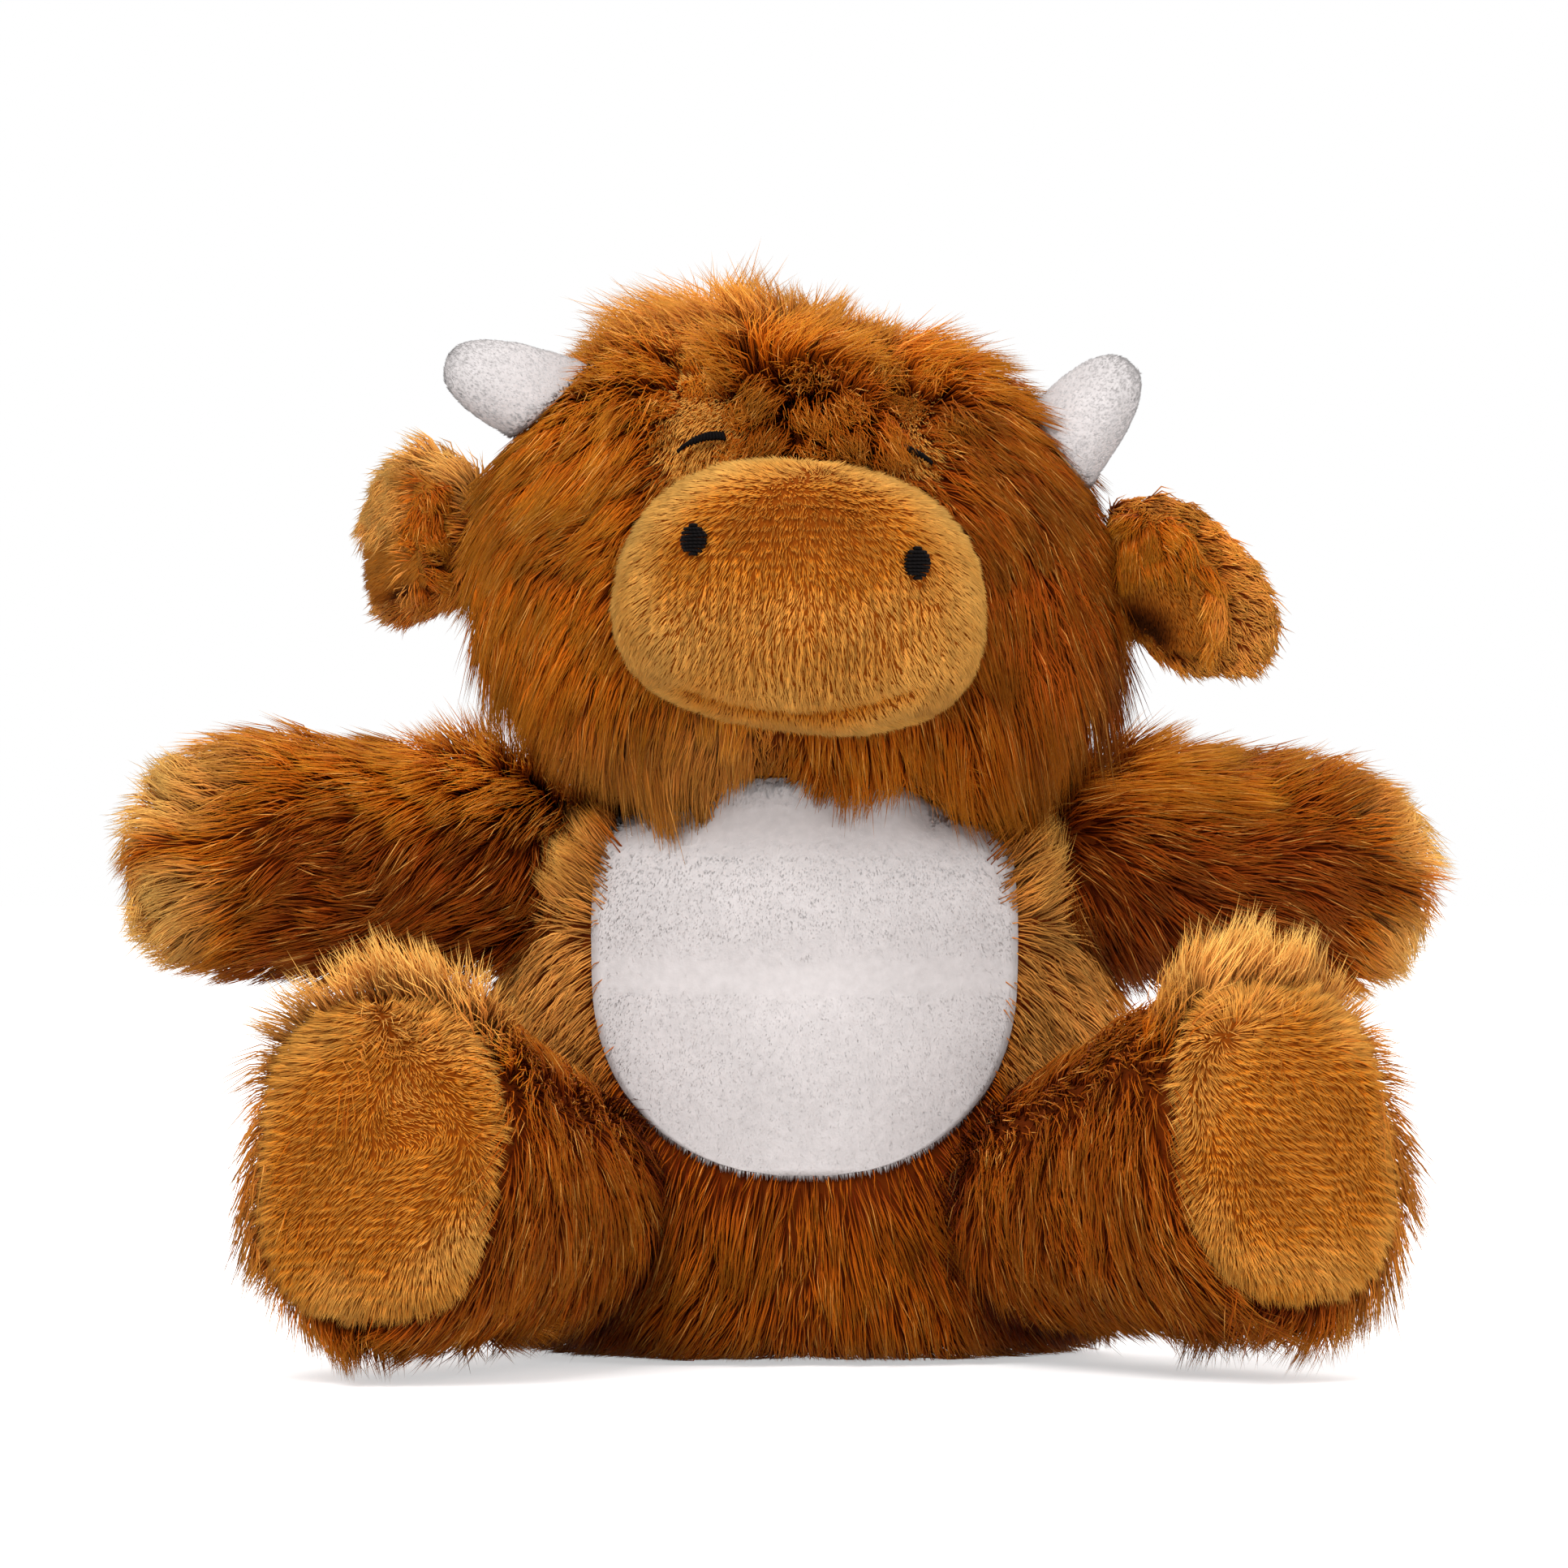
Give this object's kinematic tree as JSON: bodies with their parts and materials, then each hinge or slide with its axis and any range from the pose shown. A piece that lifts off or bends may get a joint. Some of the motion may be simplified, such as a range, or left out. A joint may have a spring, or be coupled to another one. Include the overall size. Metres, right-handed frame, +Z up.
{
  "type": "plush highland cow",
  "caption": "Seated stuffed highland cow with shaggy long pile, a short-pile muzzle and soles, white horns and belly, and sewn limbs, ears and tail that flex at their seams.",
  "frame": {"origin": "middle of the flat seat under the body, on the surface that the toy sits on", "axes": "+Z up, +Y towards the toy's back, +X towards the right of someone who looks at its face, across the arms"},
  "size_m": [0.1617, 0.1113, 0.1249],
  "materials": {
    "long_pile_plush": "matte",
    "short_pile_plush": "matte",
    "white_plush": "matte",
    "black_thread": "satin",
    "fibre_filling": "matte",
    "bean_pouch": "matte"
  },
  "bodies": {
    "body": {"body_cover": "long_pile_plush", "belly_patch": "white_plush", "bean_pouch": "bean_pouch", "body_filling": "fibre_filling"},
    "neck": {"neck_filling": "fibre_filling"},
    "head": {"head_cover": "long_pile_plush", "head_filling": "fibre_filling", "muzzle_cover": "short_pile_plush", "lower_lip": "short_pile_plush", "muzzle_filling": "fibre_filling", "nostril_left": "black_thread", "nostril_right": "black_thread", "eye_left": "black_thread", "eye_right": "black_thread", "horn_left": "white_plush", "horn_right": "white_plush", "horn_left_filling": "fibre_filling", "horn_right_filling": "fibre_filling"},
    "ear_left": {"ear_left_back": "long_pile_plush", "ear_left_lining": "short_pile_plush"},
    "ear_right": {"ear_right_back": "long_pile_plush", "ear_right_lining": "short_pile_plush"},
    "arm_left": {"arm_left_cover": "long_pile_plush", "arm_left_filling": "fibre_filling"},
    "arm_right": {"arm_right_cover": "long_pile_plush", "arm_right_filling": "fibre_filling"},
    "leg_left": {"leg_left_cover": "long_pile_plush", "leg_left_filling": "fibre_filling", "foot_pad_left": "short_pile_plush"},
    "leg_right": {"leg_right_cover": "long_pile_plush", "leg_right_filling": "fibre_filling", "foot_pad_right": "short_pile_plush"},
    "tail": {"tail_cord": "short_pile_plush", "tail_tuft": "long_pile_plush"}
  },
  "joints": [
    {"name": "head_turn", "type": "hinge", "parent": "body", "child": "neck", "pos_m": [0, -0.004, 0.07], "axis": [0, 0, 1], "range_deg": [-20, 20], "stiffness_Nm_per_rad": 0.5},
    {"name": "head_nod", "type": "hinge", "parent": "neck", "child": "head", "pos_m": [0, -0.004, 0.07], "axis": [1, 0, 0], "range_deg": [-12, 12], "stiffness_Nm_per_rad": 1},
    {"name": "ear_left_flap", "type": "hinge", "parent": "head", "child": "ear_left", "pos_m": [-0.04096, -0.00655, 0.10015], "axis": [0.1028, -0.0136, 0.9946], "range_deg": [-20, 20], "stiffness_Nm_per_rad": 0.01},
    {"name": "ear_right_flap", "type": "hinge", "parent": "head", "child": "ear_right", "pos_m": [0.03825, -0.00657, 0.09688], "axis": [-0.0083, -0.0011, 1], "range_deg": [-15, 20], "stiffness_Nm_per_rad": 0.01},
    {"name": "arm_left_swing", "type": "hinge", "parent": "body", "child": "arm_left", "pos_m": [-0.03363, -0.00145, 0.05984], "axis": [0, 1, 0], "range_deg": [-10, 20], "stiffness_Nm_per_rad": 0.2},
    {"name": "arm_right_swing", "type": "hinge", "parent": "body", "child": "arm_right", "pos_m": [0.03363, -0.00145, 0.05984], "axis": [0, -1, 0], "range_deg": [-10, 20], "stiffness_Nm_per_rad": 0.2},
    {"name": "leg_left_splay", "type": "hinge", "parent": "body", "child": "leg_left", "pos_m": [-0.03049, -0.02168, 0.0195], "axis": [0, 0, -1], "range_deg": [-12, 15], "stiffness_Nm_per_rad": 0.3},
    {"name": "leg_right_splay", "type": "hinge", "parent": "body", "child": "leg_right", "pos_m": [0.03049, -0.02168, 0.0195], "axis": [0, 0, 1], "range_deg": [-12, 15], "stiffness_Nm_per_rad": 0.3},
    {"name": "tail_swing", "type": "hinge", "parent": "body", "child": "tail", "pos_m": [0, 0.0324, 0.0283], "axis": [0, 1, 0], "range_deg": [-25, 25], "stiffness_Nm_per_rad": 0.01}
  ]
}
